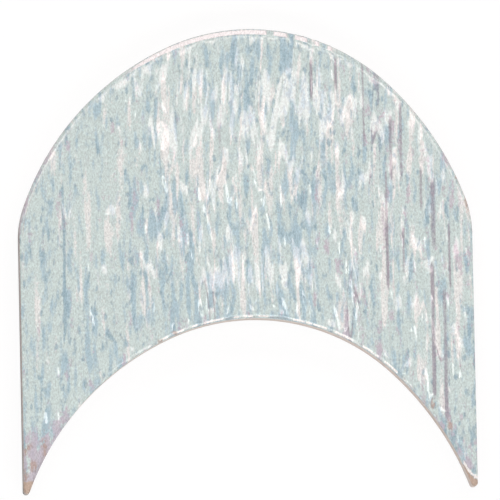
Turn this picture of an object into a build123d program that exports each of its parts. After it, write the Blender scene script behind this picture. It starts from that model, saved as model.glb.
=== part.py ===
from build123d import *
import os

# Face outline, seen from the glazed side with the dome up the page (+Y).
# Heights are taken from the shoulder line, where the dome meets the straight sides.
tile_width = 125.0        # across the two straight sides
dome_rise = 52.7          # shoulder line to the top of the dome
body_height = 80.3        # shoulder line to the sharp points of the horns
crown_radius = 55.0       # large arc over the top of the dome
crown_lean = 1.6          # the crown's centre stands this far right of the middle
crown_left_angle = 24.0   # how far the crown's arc runs down to the left of its top
crown_right_angle = 43.0  # and to the right
shoulder_radius = 28.0    # soft turn from the dome into the straight sides
bay_clearance = 0.4       # the bay is this much wider than the dome it takes
horn_radius = 0.9         # blunt end of each horn

# Section
thickness = 9.0           # back to glazed face
rim_radius = 0.6          # rounded edge of the glazed face
slope_width = 1.7         # slope along the dome's edge, in from the edge
slope_drop = 0.75         # and down from the glazed face
back_bevel = 0.5          # small bevel round the back

# Keying grooves pressed into the back for the adhesive
groove_depth = 0.8
groove_width = 6.0
groove_pitch = 12.0
groove_border = 7.0       # plain band left round the back

half_width = tile_width / 2
crown_centre = (crown_lean, dome_rise - crown_radius)

# The blank is the dome with straight sides below it. The crown arc is carried to each
# shoulder by a flank arc that leaves it in line.
with BuildSketch() as blank:
    with BuildLine():
        crown = CenterArc(
            crown_centre,
            crown_radius,
            90 - crown_right_angle,
            crown_left_angle + crown_right_angle,
        )
        right_flank = TangentArc(crown @ 0, (half_width, 0), tangent=-(crown % 0))
        left_flank = TangentArc(crown @ 1, (-half_width, 0), tangent=crown % 1)
        Polyline(
            right_flank @ 1,
            (half_width, -body_height),
            (-half_width, -body_height),
            left_flank @ 1,
        )
    make_face()

# The dome of the tile in the next course, with its clearance, one body height lower.
with BuildSketch() as next_dome:
    add(blank.sketch)
    offset(amount=bay_clearance)

# A crescent is left when the next dome is taken out of the blank.
with BuildSketch() as outline:
    add(blank.sketch)
    shoulders = outline.vertices().group_by(Axis.Y)[1]
    fillet(shoulders, shoulder_radius)
    with Locations((0, -body_height)):
        add(next_dome.sketch, mode=Mode.SUBTRACT)
    horn_points = outline.vertices().sort_by(Axis.Y)[:2]
    fillet(horn_points, horn_radius)

# The die slopes the edge of the dome. The cut follows the dome's arcs and runs straight on
# past them, so the slope dies out where the soft shoulders turn away from it.
with BuildPart() as dome_slope:
    with BuildLine() as dome_edge:
        add([crown, right_flank, left_flank])
        Line(right_flank @ 1, right_flank @ 1 + shoulder_radius * (right_flank % 1))
        run_on = Line(left_flank @ 1, left_flank @ 1 + shoulder_radius * (left_flank % 1))
    outward = (run_on % 1).cross(Vector(0, 0, 1))
    with BuildSketch(Plane(origin=run_on @ 1, x_dir=outward, z_dir=-(run_on % 1))):
        Polygon(
            (-slope_width, thickness),
            (slope_width, thickness - 2 * slope_drop),
            (slope_width, thickness),
            align=None,
        )
    sweep(path=dome_edge.wires()[0])

# The tile lies on its back with the middle of its outline over the origin.
middle = outline.sketch.bounding_box().center()
tile_base = Plane(origin=(-middle.X, -middle.Y, 0))

# Parallel grooves, cut off where they reach the plain band round the back.
with BuildSketch(tile_base) as grooves:
    with GridLocations(groove_pitch, 1, int(tile_width / groove_pitch), 1):
        Rectangle(groove_width, 2 * (dome_rise + body_height))
    add(offset(outline.sketch, amount=-groove_border, mode=Mode.PRIVATE), mode=Mode.INTERSECT)

with BuildPart() as tile:
    with BuildSketch(tile_base):
        add(outline.sketch)
    extrude(amount=thickness)
    fillet(tile.faces().sort_by(Axis.Z)[-1].edges(), rim_radius)
    chamfer(tile.faces().sort_by(Axis.Z)[0].edges(), back_bevel)
    extrude(grooves.sketch, amount=groove_depth, mode=Mode.SUBTRACT)
    with Locations(tile_base.location):
        add(dome_slope.part, mode=Mode.SUBTRACT)

tile.part.label = "tile"
os.makedirs("parts", exist_ok=True)
export_step(tile.part, "parts/tile.step")
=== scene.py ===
from math import cos, pi, radians, sin, sqrt

import bpy
import numpy as np
from mathutils import Matrix, Vector


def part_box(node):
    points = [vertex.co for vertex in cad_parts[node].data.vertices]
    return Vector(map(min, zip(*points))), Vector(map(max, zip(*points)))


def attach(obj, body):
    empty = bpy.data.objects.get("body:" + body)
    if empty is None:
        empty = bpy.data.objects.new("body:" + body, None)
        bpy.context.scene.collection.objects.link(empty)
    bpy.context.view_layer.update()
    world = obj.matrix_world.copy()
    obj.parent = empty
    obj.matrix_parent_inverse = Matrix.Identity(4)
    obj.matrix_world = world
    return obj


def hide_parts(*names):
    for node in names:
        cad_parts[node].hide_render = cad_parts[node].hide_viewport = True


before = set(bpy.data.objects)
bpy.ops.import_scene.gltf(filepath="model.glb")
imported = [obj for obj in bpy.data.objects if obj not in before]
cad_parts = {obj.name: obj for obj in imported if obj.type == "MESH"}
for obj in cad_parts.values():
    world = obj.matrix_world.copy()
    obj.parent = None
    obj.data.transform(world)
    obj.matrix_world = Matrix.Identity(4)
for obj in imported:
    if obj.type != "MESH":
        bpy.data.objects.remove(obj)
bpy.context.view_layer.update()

# The tile's outline.
# The real tile is one piece of porcelain, pressed in a steel die, so both its curved edges are
# clean arcs: a dome above, and below it a bay that is the same dome one course lower, a little
# wider. Lengths are in millimetres until the mesh is made.
MM = 0.001
tile_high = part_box("tile")[1]
half_width = tile_high.x / MM
thickness = tile_high.z / MM
dome_rise = 52.7
body_height = 80.3
crown_radius = 55.0
crown_lean = 1.6
crown_angle = {-1: radians(24), 1: radians(43)}
shoulder_radius = 28.0
bay_clearance = 0.4
horn_radius = 0.9
shoulder_y = tile_high.y / MM - dome_rise


def outline_arcs():
    """The dome's and the bay's arcs from left to right, as rows of first x, last x, centre x,
    centre y, radius and side (1 for an upper arc, -1 for a lower one). Each flank arc leaves
    the crown in line and meets the shoulder, so its radius is the chord squared over twice
    the chord's fall along the crown's radius. Shoulder and horn fillets touch two curves."""
    crown_x, crown_y = crown_lean, shoulder_y + dome_rise - crown_radius
    dome = {0: [crown_x, crown_y, crown_radius, 1]}
    bay = {0: [crown_x, crown_y - body_height, crown_radius + bay_clearance, 1]}
    dome_joints, bay_joints = [], []
    for side in (-1, 1):
        out_x, out_y = side * sin(crown_angle[side]), cos(crown_angle[side])
        end_x, end_y = crown_x + crown_radius * out_x, crown_y + crown_radius * out_y
        run_x, run_y = side * half_width - end_x, shoulder_y - end_y
        radius = -(run_x**2 + run_y**2) / (2 * (out_x * run_x + out_y * run_y))
        flank_x, flank_y = end_x - radius * out_x, end_y - radius * out_y

        fillet_x = side * (half_width - shoulder_radius)
        reach = radius - shoulder_radius
        fillet_y = flank_y + sqrt(reach**2 - (fillet_x - flank_x) ** 2)
        dome[side] = [flank_x, flank_y, radius, 1]
        dome[2 * side] = [fillet_x, fillet_y, shoulder_radius, 1]
        dome_joints += [end_x, flank_x + radius * (fillet_x - flank_x) / reach]

        bay_y, bay_radius = flank_y - body_height, radius + bay_clearance
        horn_x = side * (half_width - horn_radius)
        reach = bay_radius + horn_radius
        horn_y = bay_y + sqrt(reach**2 - (horn_x - flank_x) ** 2)
        bay[side] = [flank_x, bay_y, bay_radius, 1]
        bay[2 * side] = [horn_x, horn_y, horn_radius, -1]
        bay_joints += [
            crown_x + bay[0][2] * out_x,
            flank_x + bay_radius * (horn_x - flank_x) / reach,
        ]
    edges = []
    for arcs, joints in ((dome, dome_joints), (bay, bay_joints)):
        stops = [-half_width, *sorted(joints), half_width]
        edges.append(np.array([[*stops[i:i + 2], *arcs[i - 2]] for i in range(5)]))
    return edges


dome_arcs, bay_arcs = outline_arcs()


def edge_height(x, arcs, inset=0.0):
    """y of a curved edge at x: on each arc, centre y plus or minus the root of radius squared
    less (x - centre x) squared. With an inset, the radius is that much smaller."""
    centre_x, centre_y, radius, side = arcs.T[2:, :, None]
    span = np.clip((radius - inset) ** 2 - (x - centre_x) ** 2, 0, None)
    height = centre_y + side * np.sqrt(span)
    which = np.clip(np.searchsorted(arcs[:, 1], x), 0, len(arcs) - 1)
    return np.take_along_axis(height, which[None], 0)[0]


def arc_distance(x, y, arcs):
    """Distance from points inside the outline to a curved edge: on the stretch of each arc it
    is the radius less the distance from the arc's centre, without its sign. Neighbouring
    stretches overlap by a hair, so that no point falls between them."""
    overlap, hair, above_zero = 0.02, 1e-6, 1e-9
    nearest = np.full(np.shape(x), 2 * half_width)
    for first, last, centre_x, centre_y, radius, side in arcs:
        away = np.hypot(x - centre_x, y - centre_y) + above_zero
        foot_x = centre_x + radius * (x - centre_x) / away
        facing = side * (y - centre_y) >= -hair
        on_arc = facing & (foot_x >= first - overlap) & (foot_x <= last + overlap)
        nearest = np.where(on_arc, np.minimum(nearest, np.abs(away - radius)), nearest)
    return nearest


# The combed face.
# Before firing, the soft face is combed and brushed from dome to bay. The glaze runs off the
# ridges and pools between them, so this relief also decides where each colour shows. Random
# numbers are smoothed along the combing, each field with a seed of its own.
noise_step = (0.2, 0.4)
noise_cells = (720, 360)


def combed(seed, across, along):
    """A field of seeded random numbers smoothed by a Gaussian of the given widths in
    millimetres, across and along the combing, with a mean of 0 and a deviation of 1."""
    rough = np.random.default_rng(seed).standard_normal(noise_cells)
    waves_x = np.fft.fftfreq(noise_cells[0], noise_step[0])[:, None]
    waves_y = np.fft.rfftfreq(noise_cells[1], noise_step[1])[None, :]
    keep = np.exp(-2 * pi**2 * ((waves_x * across) ** 2 + (waves_y * along) ** 2))
    smooth = np.fft.irfft2(np.fft.rfft2(rough) * keep, noise_cells)
    return (smooth - smooth.mean()) / smooth.std()


def at(field, x, y):
    """The field's value at points in millimetres, linear between its cells, and repeated."""
    column, row = x / noise_step[0], y / noise_step[1]
    i, j = np.floor(column).astype(int), np.floor(row).astype(int)
    a, b = column - i, row - j
    wide, high = noise_cells
    i, j, k, l = i % wide, j % high, (i + 1) % wide, (j + 1) % high
    near = field[i, j] * (1 - a) + field[k, j] * a
    far = field[i, l] * (1 - a) + field[k, l] * a
    return near * (1 - b) + far * b


def ease(value, low, high):
    """0 below low, 1 above high, and a smooth step of 3t2 - 2t3 between them."""
    t = np.clip((value - low) / (high - low), 0, 1)
    return t * t * (3 - 2 * t)


def between(value, low, high, soft):
    """1 from low to high and 0 outside, with a smooth step of twice soft at either end."""
    return ease(value, low - soft, low + soft) * ease(-value, -high - soft, soft - high)


def hill(x, y, across, along):
    """A round hill of height 1 on the face: exp of minus the squares of the distances from x
    and y over its half widths."""
    return np.exp(-(((face_x - x) / across) ** 2) - ((face_y - y) / along) ** 2)


# The face's points lie in columns from side to side and rows from bay to dome. Both crowd
# together in the margin beside each edge, where the rim curves.
grid_margin = 1.7
columns_inside = 530
columns_beside = 14
rows_inside = 126
rows_beside = 12


def beside_edge(count):
    """Distances of points from an edge: the margin times 1 less the cosine of an angle that
    grows evenly from nothing to a right angle."""
    return grid_margin * (1 - np.cos(np.linspace(0, pi / 2, count, endpoint=False)))


near_side = beside_edge(columns_beside)
inside = np.linspace(grid_margin, 2 * half_width - grid_margin, columns_inside)
column_x = np.concatenate([near_side, inside, 2 * half_width - near_side[::-1]]) - half_width
bay_y, dome_y = edge_height(column_x, bay_arcs), edge_height(column_x, dome_arcs)
near_edge = beside_edge(rows_beside)[:, None]
share = np.linspace(0, 1, rows_inside)[:, None]
face_y = np.concatenate([
    bay_y + near_edge,
    bay_y + grid_margin + share * (dome_y - bay_y - 2 * grid_margin),
    dome_y - near_edge[::-1],
])
face_x = np.broadcast_to(column_x, face_y.shape)

# The comb was pressed harder towards the middle than at the left, so the relief is livelier
# there. Its strokes are squeezed by a tanh, which gives them flat tops and steep sides.
comb_wander = 0.5
drift = at(combed(11, across=9, along=18), face_x, face_y)
comb_x = face_x + comb_wander * drift
strokes = 1.15 * np.tanh(1.5 * at(combed(21, across=0.5, along=4.0), comb_x, face_y))
swells = at(combed(31, across=1.8, along=7.0), comb_x, face_y)
fibres = at(combed(41, across=0.25, along=3.0), comb_x, face_y)
lumps = at(combed(51, across=0.4, along=1.2), face_x, face_y)
to_right = ease(face_x, 8, 38)
livelier = 0.46 + 0.54 * ease(face_x, -44, -14) - 0.15 * to_right
calmer = 1 - livelier


def ridge_line(x, top, bottom, width):
    """One long ridge left by the comb: exp of minus the fourth power of the distance from the
    line at x over the width, so its sides are steep. It drifts a little with the combing and
    fades at both ends."""
    wander, fade = 0.2, 2
    across = np.exp(-(((face_x + wander * drift - x) / width) ** 4))
    return across * between(face_y, bottom, top, fade)


ridge = np.zeros_like(face_y)
for x, top, bottom, width in (
    (18.9, 55, 44, 0.4),
    (25.6, 55, 46, 0.4),
    (33.0, 54, 30, 0.35),
    (40.3, 39, 21, 0.5),
    (43.2, 43, 21, 0.45),
    (38.9, 24, -9, 0.4),
    (48.7, 24, 13, 0.45),
    (52.0, 21, 2, 0.75),
    (51.3, -2, -39, 0.55),
    (56.2, 9, -9, 0.35),
    (54.5, -9, -45, 0.55),
    (43.5, 8, -4, 0.4),
):
    ridge = np.maximum(ridge, ridge_line(x, top, bottom, width))

# Shorter ridges run where one slow field crosses zero, and a second field breaks them up.
crossing = at(combed(61, across=0.9, along=9), comb_x, face_y)
gate = at(combed(71, across=2.5, along=6), comb_x, face_y) + 0.9 * to_right - 1.5 * calmer
small_ridge = np.exp(-((crossing / 0.18) ** 2)) * ease(gate, 0.5, 2.0)
ridge = np.maximum(ridge, 0.7 * small_ridge) * (0.8 + 0.2 * np.clip(strokes, -1, 1))

stroke_height = 0.1
swell_height = 0.06
fibre_height = 0.028
lump_height = 0.005
ridge_height = 0.16
brushed = stroke_height * strokes + swell_height * swells + fibre_height * fibres
relief = livelier * brushed + lump_height * lumps + ridge_height * ridge

# Firing leaves the face very slightly wavy: x, y, half widths and height of each rise.
wave = np.zeros_like(face_y)
for x, y, across, along, height in (
    (0, -11, 18, 9, 0.36),
    (4, 34, 22, 12, 0.19),
    (-38, 52, 16, 16, 0.35),
    (6, 68, 34, 9, 0.3),
):
    wave += height * hill(x, y, across, along)

# The rim.
# The die rounds the edge of the face into a narrow slope, wide along the dome and slight along
# the bay. The glaze draws thin over it, and it catches the light as a bright line.
rim_widths = {"dome": 1.65, "side": 0.8, "bay": 1.05}
rim_slope = 0.46
rim_blend = 0.15
edge_radius = 0.35
steeper_dome = 0.7
lobed_bay = 0.14


def rim_fall(gap, width, steeper):
    """How far the rim has dropped at a distance from the edge: its slope, made steeper by a
    share, times a rounded ramp, the mean of (width - gap) and its root of squares with the
    blend, and a quarter circle at the very edge."""
    ramp = (width - gap + np.hypot(width - gap, rim_blend)) / 2
    corner = np.clip(1 - gap / edge_radius, 0, 1)
    return rim_slope * (1 + steeper) * ramp + edge_radius * (1 - np.sqrt(1 - corner**2))


dome_gap = arc_distance(face_x, face_y, dome_arcs)
bay_gap = arc_distance(face_x, face_y, bay_arcs)
side_gap = half_width - np.abs(face_x)
edge_gap = np.minimum(np.minimum(dome_gap, bay_gap), side_gap)

# The dome's slope widens from the shoulders to the crown. It is gentle and even over the crown
# from its left to just past its top, and in four short stretches further right. Elsewhere along
# the dome it is steeper, and along the bay it varies in small lobes.
widening = ease(face_y, 40, 62)
dome_width = rim_widths["side"] + (rim_widths["dome"] - rim_widths["side"]) * widening
even = ease(-face_x, -7.1, -6.7) * ease(face_x, -36, -26)
for start, end in ((8.8, 12.6), (14.7, 18.1), (20.1, 21.4), (23.6, 24.9)):
    even = np.maximum(even, between(face_x, start, end, 0.2))
lobes = at(combed(121, across=0.8, along=1.5), face_x, face_y)
dome_fall = rim_fall(dome_gap, dome_width, steeper_dome * (1 - even))
bay_fall = rim_fall(bay_gap, rim_widths["bay"], lobed_bay * lobes)
side_fall = rim_fall(side_gap, rim_widths["side"], 0)
rim_drop = np.maximum(np.maximum(dome_fall, bay_fall), side_fall)

# The combing fades towards every edge. All but its highest 0.3 per cent stays below the tile's
# thickness, and that little is cut level there.
relief_at_edge = 0.2
level_percentile = 99.7
fade = relief_at_edge + (1 - relief_at_edge) * ease(edge_gap, 0.6, 3.6)
relief = (relief - relief.mean()) * fade + wave
face_z = thickness + relief - np.percentile(relief, level_percentile) - rim_drop

# The glaze stops short of both horns' tips, on the left at a level line and on the right at a
# curve. From its start at the bay's edge, the curve's height is the start's, less its fall times
# the distance past the start, plus its bend times that distance squared. Before the start it
# drops away. Its slant turns a height below it into a distance from it. How far a point lies
# past the line is in bare_end, and the face drops there by the thickness of the glaze.
glaze_thickness = 0.2
glaze_lip = 0.65
left_line_y = -60.1
right_line_x, right_line_y = 58.7, -57.5
right_fall, right_bend, drop_before, right_slant = 1.95, 0.22, 8, 1.5
right_horn_x = 55
past = face_x - right_line_x
right_line = right_line_y - right_fall * past + right_bend * past**2
right_line = right_line + drop_before * np.minimum(past, 0)
right_end, left_end = (right_line - face_y) / right_slant, left_line_y - face_y
bare_end = np.where(face_x > right_horn_x, right_end, left_end)
face_z = np.minimum(face_z, thickness) - glaze_thickness * ease(bare_end, -glaze_lip, 0)

# Where each colour of the glaze shows.
# The glaze is one coat that breaks into colours as it melts: cream drips on the strokes' tops,
# blue where it pools between them, and mauve and brown where it is thin. Each field here is a
# sum of what helps its colour and what hinders it, and the colour shows where the sum is high.
horns = ease(-face_y, 38, 51)
near_bay = ease(-bay_gap, -4.5, -0.5)
area = at(combed(91, across=4, along=7), face_x, face_y)
columns = at(combed(141, across=0.9, along=14), comb_x, face_y)
lines = at(combed(151, across=0.3, along=9), comb_x, face_y)
patchy = 0.18 * area + 0.25 * columns + 0.38 * lines

flecks = at(combed(111, across=0.45, along=2.8), comb_x, face_y)
cream = 0.7 * flecks + 0.75 * livelier * strokes - patchy
cream = cream + 0.4 * hill(2, 26, 26, 24) - 0.1 * calmer - 0.8 * near_bay - 0.25

flecks = at(combed(81, across=0.35, along=1.6), comb_x, face_y)
blue = flecks - 0.3 * strokes + patchy + 0.8 * hill(-5, 6, 32, 20)
blue = blue + 0.3 * near_bay + 0.8 * horns - 0.2 * calmer

flecks = at(combed(101, across=0.25, along=0.6), comb_x, face_y)
dark = flecks + 0.7 * patchy + 4.5 * ridge_line(-50.3, 22, -20, 0.35)
dark = dark + 2.5 * small_ridge * to_right + 1.2 * horns * to_right

# Mauve gathers on the horns, along the bay, on the right, and along the dome's left flank.
flecks = at(combed(131, across=0.5, along=1.6), comb_x, face_y)
mottle = at(combed(181, across=0.35, along=0.7), face_x, face_y)
left_flank = ease(-face_x, 30, 36) * ease(face_y, 0, 10) * ease(-face_y, -38, -26)
mauve = flecks * (1 - 0.5 * horns) + 1.3 * mottle * horns + 0.7 * to_right
mauve = mauve + near_bay + 0.5 * calmer - 1.4 + (1.9 - face_x / 50) * horns
mauve = mauve + 3.2 * left_flank * ease(-dome_gap, -1.0, -0.85)

# Pale lines, painted highlights for the lamps' reflections: on the even stretches of the dome's
# slope, over glaze that is paler where it is thin there, in dashes along the bay's edge, on the
# lip of the glaze at the right tip, and along the edges of the cream drips.
# Painted highlight on the dome's even slope, over a glaze that is paler where it is thin.
rim_glaze_and_highlight = ease(dome_width - dome_gap, 0, 0.25) * ease(dome_gap, 0.2, 0.4) * even
# Painted highlight: white dashes along the bay's edge, where the lamps would glint.
highlight_dashes = ease(at(combed(171, across=0.7, along=2.5), face_x, face_y), -0.55, -0.35)
bay_highlight = ease(-bay_gap, -0.85, -0.7) * ease(bay_gap, 0.2, 0.3) * highlight_dashes
bay_highlight = bay_highlight * ease(-np.abs(face_x - 9), -42, -30)
# Painted highlight: a white line along the lip of the glaze at the right tip.
lip_highlight = ease(bare_end, -0.7, -0.6) * ease(-bare_end, -0.1, 0) * (face_x > right_horn_x)
# Painted highlight: thin white lines along the edges of the cream drips.
drip_highlight = np.exp(-(((strokes - 0.7) / 0.22) ** 2)) * ease(cream, -0.2, 0.9)
drip_highlight = drip_highlight * ease(livelier, 0.4, 0.9)
# All the painted highlights together.
painted_highlight = np.maximum(np.maximum(bay_highlight, lip_highlight), 0.62 * drip_highlight)

# The body shows through where the glaze is thinnest: at the very edges, in a thin line along the
# dome's left flank, and between the dashes of the bay's painted highlight. At the dome's edge the
# dark line is partly painted shade of the rounded corner, and the dark line along the left side
# is painted shade, for the wall there that stands in shadow. Each with its strength.
flank_line = ease(dome_gap, 0.85, 1.0) * ease(-dome_gap, -1.4, -1.25) * left_flank
thin_glaze_and_shade = np.zeros_like(face_y)
for strength, where in (
    # Partly thin glaze, partly painted shade of the dome's rounded edge.
    (0.55, ease(-dome_gap, -0.5, -0.2)),
    (0.6, flank_line),
    (0.5, ease(-bay_gap, -0.2, -0.05)),
    (0.5, ease(-bay_gap, -0.9, -0.7) * (1 - highlight_dashes)),
    # Painted shade: a dark line along the left side, for the wall there in shadow.
    (1.0, ease(-face_x, half_width - 0.4, half_width - 0.15)),
):
    thin_glaze_and_shade = np.maximum(thin_glaze_and_shade, strength * where)

# Brown specks of iron on the horns, beside the bay and on the right flank: x, y and half widths.
brown = np.zeros_like(face_y)
for x, y, across, along in (
    (-56.6, -51.0, 0.8, 3.2),
    (-60.8, -50.9, 1.0, 1.0),
    (-61.6, -52.0, 0.6, 1.4),
    (-59.8, -55.8, 1.3, 1.6),
    (-61.7, -58.6, 0.7, 1.7),
    (-24.0, -22.2, 0.9, 0.7),
    (-20.1, -20.0, 0.9, 0.7),
    (50.5, -41.0, 0.6, 1.6),
    (55.0, -46.8, 0.8, 1.8),
    (61.2, 15.5, 0.8, 3.5),
    (58.6, 22.5, 0.7, 2.0),
):
    brown = np.maximum(brown, hill(x, y, across, along))
tip = ease(bare_end, 0, 0.2)

# The walls and the back.
# Bare porcelain, as it leaves the die. The back has a small bevel, and shallow parallel grooves
# that key into the adhesive and end at a plain band.
back_bevel = 0.5
groove_depth = 0.8
groove_width = 6.0
groove_pitch = 12.0
groove_border = 7.0
groove_draft = 0.2
wall_levels = (0.96, 0.88, 0.76, 0.5, 0.25, 0.0)

points = []


def vertices_at(x, y, z):
    """Adds a row or grid of points and returns their numbers, one for each."""
    first = sum(len(row) for row in points)
    placed = np.stack(np.broadcast_arrays(x, y, z), -1)
    points.append(placed.reshape(-1, 3))
    return first + np.arange(placed[..., 0].size).reshape(placed.shape[:-1])


index = vertices_at(face_x, face_y, face_z)
rim_loop = np.concatenate([index[0, :-1], index[:-1, -1], index[-1, :0:-1], index[:0:-1, 0]])
loop_x, loop_y, loop_z = points[0][rim_loop].T
along_x = np.roll(loop_x, -1) - np.roll(loop_x, 1)
along_y = np.roll(loop_y, -1) - np.roll(loop_y, 1)
length = np.hypot(along_x, along_y)
out_x, out_y = along_y / length, -along_x / length

# The walls are rings of points from the rim down to the bevel, and one more ring lies inside
# the bevel, on the back.
rings = [rim_loop]
for level in wall_levels:
    rings.append(vertices_at(loop_x, loop_y, back_bevel + level * (loop_z - back_bevel)))
rings.append(vertices_at(loop_x - back_bevel * out_x, loop_y - back_bevel * out_y, 0.0))
quads = [np.stack([index[:-1, :-1], index[:-1, 1:], index[1:, 1:], index[1:, :-1]], -1)]
for upper, lower in zip(rings, rings[1:]):
    quads.append(np.stack([upper, lower, np.roll(lower, -1), np.roll(upper, -1)], -1))

# The back is strips along the columns, from the bay's ring to the dome's, that dip into each
# groove. A column that no groove fits in has its four middle points level with the back.
end_columns = columns_beside + 6
least_groove = 1.0
row_count, column_count = face_y.shape
back_ring = rings[-1]
inner = np.arange(end_columns, column_count - end_columns)
inner_x = column_x[inner]
dome_start = column_count + row_count - 2
groove_low = edge_height(inner_x, bay_arcs, -groove_border)
groove_high = edge_height(inner_x, dome_arcs, groove_border)
across = np.abs((inner_x / groove_pitch + 0.5) % 1 - 0.5) * groove_pitch
fits = groove_high > groove_low + least_groove
grooved = fits & (across > (groove_pitch - groove_width) / 2)
grooved &= np.abs(inner_x) < half_width - groove_border
middle_y = (edge_height(inner_x, bay_arcs) + edge_height(inner_x, dome_arcs)) / 2
groove_low = np.where(fits, groove_low, middle_y - least_groove)
room_above = groove_high > groove_low + least_groove
groove_high = np.where(room_above, groove_high, middle_y + least_groove)
groove_z = np.where(grooved, groove_depth, 0.0)
back_rows = [
    back_ring[inner],
    vertices_at(inner_x, groove_low, 0.0),
    vertices_at(inner_x, groove_low + groove_draft, groove_z),
    vertices_at(inner_x, groove_high - groove_draft, groove_z),
    vertices_at(inner_x, groove_high, 0.0),
    back_ring[dome_start + column_count - 1 - inner],
]
grid = np.array(back_rows)
quads.append(np.stack([grid[:-1, :-1], grid[1:, :-1], grid[1:, 1:], grid[:-1, 1:]], -1))

# One flat face closes the back at each side.
left_cap = [*back_ring[1 - row_count - end_columns:], *back_ring[:end_columns + 1]]
left_cap += [*grid[1:-1, 0]]
right_cap = [*back_ring[column_count - 1 - end_columns:dome_start + end_columns + 1]]
right_cap += [*grid[1:-1, -1][::-1]]

vertices = np.concatenate(points) * MM
faces = np.concatenate([q.reshape(-1, 4) for q in quads]).tolist()
faces += [left_cap[::-1], right_cap[::-1]]
crease = radians(40)
mesh = bpy.data.meshes.new("glazed_tile")
mesh.from_pydata(vertices.tolist(), [], faces)
mesh.validate(verbose=True)
mesh.update()
mesh.polygons.foreach_set("use_smooth", [True] * len(mesh.polygons))
mesh.set_sharp_from_angle(angle=crease)
tile = bpy.data.objects.new("glazed_tile", mesh)
bpy.context.scene.collection.objects.link(tile)
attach(tile, "root")
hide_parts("tile")

# The glaze.
# A reactive glaze, fired on the combed face until it ran. It is smooth glass over broken
# colour, so the eye sees sharp glints along the ridges and soft specks between them.


def linear(hex_colour):
    """An sRGB colour written as six hex digits, as linear red, green, blue and alpha 1."""
    levels = [int(hex_colour[i:i + 2], 16) / 255 for i in (0, 2, 4)]
    return [v / 12.92 if v < 0.04045 else ((v + 0.055) / 1.055) ** 2.4 for v in levels] + [1]


def keep_field(name, values, elsewhere):
    """Keeps a field on the mesh for the glaze to read, with one value off the face."""
    column = np.full(len(mesh.vertices), elsewhere, np.float32)
    column[:values.size] = values.ravel()
    mesh.attributes.new(name, "FLOAT", "POINT").data.foreach_set("value", column)


def add(tree, kind, settings=(), **links):
    """Adds a node. Settings are set on the node itself. Each link is an input's name, with _
    for a space, or i and its number, and takes a number, a colour or a node's output."""
    node = tree.nodes.new(kind)
    for key, value in dict(settings).items():
        setattr(node, key, value)
    for key, value in links.items():
        number = key[1:].isdigit()
        socket = node.inputs[int(key[1:])] if number else node.inputs[key.replace("_", " ")]
        if isinstance(value, bpy.types.NodeSocket):
            tree.links.new(value, socket)
        else:
            socket.default_value = value
    return node


for name, values, elsewhere in (
    ("cream", cream, 0.0),
    ("blue", blue, 0.0),
    ("dark", dark, -2.0),
    ("mauve", mauve, -2.0),
    ("ridge", np.clip(ridge, 0, 1), 0.0),
    ("thin_glaze_and_shade", thin_glaze_and_shade, 1.0),
    ("rim_glaze_and_highlight", rim_glaze_and_highlight, 0.0),
    ("painted_highlight", painted_highlight, 0.0),
    ("brown", brown, 0.0),
    ("tip", tip, 0.0),
):
    keep_field(name, values, elsewhere)

# Widths in millimetres: 1.8 specks and 2.7 grains of pepper to the millimetre, all of them
# twice as long as they are wide. Real ones go down to a tenth of a millimetre, and these are
# drawn coarser, as wide as one or two pixels of the picture, so that they show.
speck_width = 1 / 1.8
pepper_width = 1 / 2.7
speck_stretch = 2.0
glaze = bpy.data.materials.new("reactive_glaze_fired")
glaze.use_nodes = True
tree = glaze.node_tree
shader = tree.nodes["Principled BSDF"]
place = add(tree, "ShaderNodeTexCoord").outputs["Object"]
streaky = add(
    tree, "ShaderNodeMapping", Vector=place, Scale=(1 / MM, 1 / (speck_stretch * MM), 1 / MM)
).outputs[0]
speckle = add(
    tree, "ShaderNodeTexNoise", Vector=streaky, Scale=1 / speck_width, Detail=2.0, Roughness=0.75
).outputs[0]
specks = add(tree, "ShaderNodeMath", {"operation": "SUBTRACT"}, i0=speckle, i1=0.5).outputs[0]

# Each row is a field, its colour, how much the specks break it up, the values at which it
# starts to show and shows fully, and how much of it then covers what lies below.
colour = linear("C5D5D3")
amounts = {}
for name, hex_colour, broken, start, full, most in (
    ("cream", "E1E3E1", 3.2, 0.5, 1.6, 0.85),
    ("blue", "A5BFCA", 3.2, 0.1, 2.1, 0.85),
    ("dark", "93ADB9", 3.6, 0.6, 2.6, 0.8),
    ("mauve", "BDB4C0", 6.5, 0.3, 2.4, 0.8),
    ("ridge", "9D99A3", 0.8, 0.1, 0.8, 0.85),
    # Thin glaze where the body shows, and painted shade at the dome's edge and the left side.
    ("thin_glaze_and_shade", "A39A96", 0.3, 0.3, 1.0, 1.0),
    # Pale thin glaze on the dome's slope, with a painted highlight over it.
    ("rim_glaze_and_highlight", "D8D4D5", 0.4, 0.2, 0.8, 0.95),
    # White painted highlights along the bay, the right tip's lip and the drip edges.
    ("painted_highlight", "F0EEEB", 0.4, 0.2, 0.8, 0.9),
    ("brown", "B09C92", 2.0, 0.2, 1.0, 0.85),
    ("tip", "B5A293", 0.6, 0.2, 0.8, 1.0),
):
    read = add(tree, "ShaderNodeAttribute", {"attribute_name": name}).outputs["Fac"]
    specked = add(
        tree, "ShaderNodeMath", {"operation": "MULTIPLY_ADD"}, i0=specks, i1=broken, i2=read
    ).outputs[0]
    amounts[name] = add(
        tree, "ShaderNodeMapRange", {"interpolation_type": "SMOOTHSTEP"},
        Value=specked, From_Min=start, From_Max=full, To_Max=most,
    ).outputs[0]
    colour = add(
        tree, "ShaderNodeMix", {"data_type": "RGBA"},
        i0=amounts[name], i6=colour, i7=linear(hex_colour),
    ).outputs[2]

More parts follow.
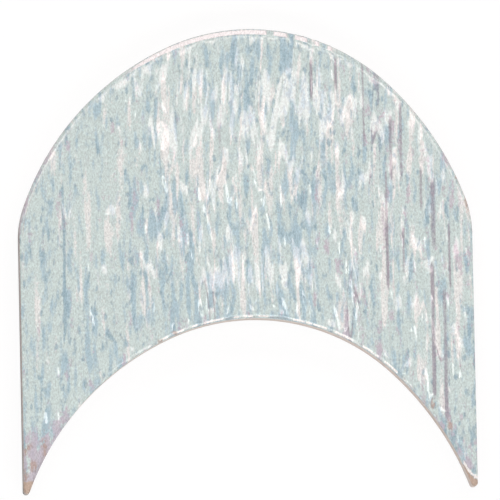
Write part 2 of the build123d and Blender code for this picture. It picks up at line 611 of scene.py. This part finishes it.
# Fine pepper darkens and lightens all the colours alike.
pepper = add(
    tree, "ShaderNodeTexNoise", Vector=streaky, Scale=1 / pepper_width, Detail=1.0, Roughness=0.8
).outputs[0]
tone = add(
    tree, "ShaderNodeMapRange",
    Value=pepper, From_Min=0.2, From_Max=0.8, To_Min=0.75, To_Max=1.25,
).outputs[0]
toned = add(
    tree, "ShaderNodeMix", {"data_type": "RGBA", "blend_type": "MULTIPLY"},
    i0=1.0, i6=colour, i7=tone,
).outputs[2]
tree.links.new(toned, shader.inputs["Base Color"])

# Brush marks lie under the glass, 0.77 mm wide, 6.4 mm long and 0.06 mm deep. They tilt it a
# little and vary its gloss, and the bare tips are matt.
brush_width = 1 / 1.3
brush_stretch = 1 / 0.12
brush_depth = 0.06
tip_roughness = 0.6
combing = add(
    tree, "ShaderNodeMapping", Vector=place, Scale=(1 / MM, 1 / (brush_stretch * MM), 1 / MM)
).outputs[0]
brush = add(
    tree, "ShaderNodeTexNoise", Vector=combing, Scale=1 / brush_width, Detail=2.0, Roughness=0.6
).outputs[0]
bump = add(tree, "ShaderNodeBump", Strength=0.6, Distance=brush_depth * MM, Height=brush)
tree.links.new(bump.outputs[0], shader.inputs["Normal"])
gloss = add(
    tree, "ShaderNodeMapRange",
    Value=brush, From_Min=0.3, From_Max=0.7, To_Min=0.03, To_Max=0.05,
).outputs[0]
rough = add(
    tree, "ShaderNodeMix", {"data_type": "FLOAT"}, i0=amounts["tip"], i2=gloss, i3=tip_roughness
)
tree.links.new(rough.outputs[0], shader.inputs["Roughness"])
shader.inputs["IOR"].default_value = 1.5
mesh.materials.append(glaze)

# The bare body.
# Porcelain pressed from damp powder and fired without glaze. It is matt and faintly grainy, a
# warm grey, and painted darker along the left side, as painted shade for that wall, which stands
# in shadow: from 3 mm inside that side on, and fully 0.1 mm inside it.
grain_width = 0.5
grain_depth = 0.05
shade_depth = 3.0
shade_full = 0.1
clay = bpy.data.materials.new("bare_porcelain_pressed")
clay.use_nodes = True
tree = clay.node_tree
shader = tree.nodes["Principled BSDF"]
place = add(tree, "ShaderNodeTexCoord").outputs["Object"]
grains = add(
    tree, "ShaderNodeTexNoise",
    Vector=place, Scale=1 / (grain_width * MM), Detail=3.0, Roughness=0.6,
).outputs[0]
clouded = add(tree, "ShaderNodeMapRange", Value=grains, From_Min=0.3, From_Max=0.7).outputs[0]
body = add(
    tree, "ShaderNodeMix", {"data_type": "RGBA"},
    i0=clouded, i6=linear("BEB4AC"), i7=linear("CEC4BC"),
).outputs[2]
# Painted shade: the body turns darker towards the left side.
side_x = add(tree, "ShaderNodeSeparateXYZ", Vector=place).outputs["X"]
left_shade = add(
    tree, "ShaderNodeMapRange", Value=side_x,
    From_Min=(shade_depth - half_width) * MM, From_Max=(shade_full - half_width) * MM,
).outputs[0]
shaded_body = add(
    tree, "ShaderNodeMix", {"data_type": "RGBA"}, i0=left_shade, i6=body, i7=linear("928D89")
).outputs[2]
tree.links.new(shaded_body, shader.inputs["Base Color"])
matt = add(
    tree, "ShaderNodeMapRange",
    Value=grains, From_Min=0.3, From_Max=0.7, To_Min=0.65, To_Max=0.85,
).outputs[0]
tree.links.new(matt, shader.inputs["Roughness"])
bump = add(tree, "ShaderNodeBump", Strength=0.5, Distance=grain_depth * MM, Height=grains)
tree.links.new(bump.outputs[0], shader.inputs["Normal"])
mesh.materials.append(clay)

# The face and the topmost ring of the walls are glazed, and everything below is bare.
glazed_faces = (row_count - 1) * (column_count - 1) + len(rim_loop)
bare = np.ones(len(mesh.polygons), np.int32)
bare[:glazed_faces] = 0
mesh.polygons.foreach_set("material_index", bare)

# The paper that the tile lies on.
# White matt paper, which looks mostly white by itself and keeps a little of the lamps' light,
# and so a soft shadow. It is clear from below, to shadow rays, and to diffuse rays shorter than
# 4 mm, so that the tile's back isn't black when it is looked at from below.
paper_half_width = 2.0
paper_gap = 0.2
own_white = 0.92
see_through = 4.0
corners = [(-1, -1), (1, -1), (1, 1), (-1, 1)]
floor_mesh = bpy.data.meshes.new("floor")
floor_mesh.from_pydata(
    [(x * paper_half_width, y * paper_half_width, -paper_gap * MM) for x, y in corners],
    [], [(0, 1, 2, 3)],
)
floor = bpy.data.objects.new("floor", floor_mesh)
bpy.context.scene.collection.objects.link(floor)
paper = bpy.data.materials.new("white_paper")
paper.use_nodes = True
tree = paper.node_tree
shader = tree.nodes["Principled BSDF"]
shader.inputs["Base Color"].default_value = linear("FFFFFF")
shader.inputs["Roughness"].default_value = 1.0
shader.inputs["Specular IOR Level"].default_value = 0.0
glow = add(tree, "ShaderNodeEmission", Color=(1, 1, 1, 1), Strength=1.0).outputs[0]
path = add(tree, "ShaderNodeLightPath").outputs
shown = path["Is Camera Ray"]
for kind in ("Is Glossy Ray", "Is Transmission Ray"):
    shown = add(
        tree, "ShaderNodeMath", {"operation": "MAXIMUM"}, i0=shown, i1=path[kind]
    ).outputs[0]
white = add(tree, "ShaderNodeMath", {"operation": "MULTIPLY"}, i0=shown, i1=own_white).outputs[0]
lit = add(tree, "ShaderNodeMixShader", i0=white, i1=shader.outputs[0], i2=glow).outputs[0]
close = add(
    tree, "ShaderNodeMath", {"operation": "LESS_THAN"}, i0=path["Ray Length"], i1=see_through * MM
).outputs[0]
hidden = add(
    tree, "ShaderNodeMath", {"operation": "MULTIPLY"}, i0=close, i1=path["Is Diffuse Ray"]
).outputs[0]
underside = add(tree, "ShaderNodeNewGeometry").outputs["Backfacing"]
for clear_for in (path["Is Shadow Ray"], underside):
    hidden = add(
        tree, "ShaderNodeMath", {"operation": "MAXIMUM"}, i0=hidden, i1=clear_for
    ).outputs[0]
clear = add(tree, "ShaderNodeBsdfTransparent").outputs[0]
sheet = add(tree, "ShaderNodeMixShader", i0=hidden, i1=lit, i2=clear).outputs[0]
tree.links.new(sheet, tree.nodes["Material Output"].inputs[0])
floor_mesh.materials.append(paper)

# The room and its lamps.
# A dim studio over a bright white cove. Below the horizon the cove lights the tile's underside
# and is white in its gloss, and the camera sees white all round. Four soft lamps stand above.
dim_above = 0.06
bright_below = 0.9
horizon = -0.05
world = bpy.data.worlds.new("studio")
bpy.context.scene.world = world
world.use_nodes = True
tree = world.node_tree
sky = tree.nodes["Background"]
sky.inputs["Color"].default_value = (1, 1, 1, 1)
direction = add(tree, "ShaderNodeTexCoord").outputs["Generated"]
height = add(tree, "ShaderNodeSeparateXYZ", Vector=direction).outputs["Z"]
fill = add(
    tree, "ShaderNodeMapRange",
    Value=height, From_Min=horizon, From_Max=0.0, To_Min=bright_below, To_Max=dim_above,
).outputs[0]
cove = add(
    tree, "ShaderNodeMapRange",
    Value=height, From_Min=horizon, From_Max=0.0, To_Min=1.0, To_Max=0.0,
).outputs[0]
path = add(tree, "ShaderNodeLightPath").outputs
mirrored = add(
    tree, "ShaderNodeMath", {"operation": "MULTIPLY"}, i0=cove, i1=path["Is Glossy Ray"]
).outputs[0]
strength = fill
for white in (mirrored, path["Is Camera Ray"], path["Is Transmission Ray"]):
    strength = add(
        tree, "ShaderNodeMath", {"operation": "MAXIMUM"}, i0=strength, i1=white
    ).outputs[0]
tree.links.new(strength, sky.inputs["Strength"])


def softbox(name, place, target, size, colour, level):
    """A rectangular area lamp that faces the target. Its power is its level times its area
    times pi, which makes its radiance pi / 4 times the level."""
    data = bpy.data.lights.new(name, "AREA")
    data.shape = "RECTANGLE"
    data.size, data.size_y = size
    data.color = colour
    data.energy = level * size[0] * size[1] * pi
    lamp = bpy.data.objects.new(name, data)
    lamp.location = place
    lamp.rotation_euler = (Vector(target) - Vector(place)).to_track_quat("-Z", "Y").to_euler()
    lamp.visible_camera = False
    bpy.context.scene.collection.objects.link(lamp)


# Places, targets and sizes are in metres.
for name, place, target, size, colour, level in (
    ("window_box", (0.1, 1.0, 0.76), (0, 0, 0), (1.45, 0.4), (1, 0.95, 0.94), 5.6),
    ("front_slot", (0.0, -0.84, 0.956), (0, 0, 0), (1.7, 0.4), (1, 0.98, 0.97), 6.0),
    ("ceiling_strip", (0.13, 0.46, 2.4), (0.13, 0.46, 0), (2.8, 0.3), (1, 0.8, 0.79), 6.2),
    ("left_strip", (-0.85, 0.0, 2.2), (0, 0, 0), (0.09, 1.6), (1, 0.96, 0.95), 9.0),
):
    softbox(name, place, target, size, colour, level)

# The camera.
# It hangs three metres over the face and a little to the left and in front, as the photograph
# was taken, so that a narrow strip of the left wall and of the bay's wall shows. The lens
# follows from the millimetres that a pixel takes in at that distance.
picture_width = 500
mm_per_pixel = 0.2750
camera_distance = 3000.0
camera_left = radians(3.3)
camera_down = radians(4.5)
camera_roll = radians(1.2)
clip_end = 10
aim = Vector((1.02, 2.41, thickness)) * MM
camera_data = bpy.data.cameras.new("camera")
camera_data.lens = camera_data.sensor_width * camera_distance / (mm_per_pixel * picture_width)
camera_data.clip_end = clip_end
camera = bpy.data.objects.new("camera", camera_data)
back = Vector((-sin(camera_left), -sin(camera_down), 1)).normalized()
camera.location = aim + back * camera_distance * MM
right = Vector((0, 1, 0)).cross(back).normalized()
up = back.cross(right)
turned = Matrix((right, up, back)).transposed().to_4x4() @ Matrix.Rotation(-camera_roll, 4, "Z")
camera.rotation_mode = "QUATERNION"
camera.rotation_quaternion = turned.to_quaternion()
bpy.context.scene.collection.objects.link(camera)
bpy.context.scene.camera = camera
bpy.context.scene.view_settings.view_transform = "Standard"
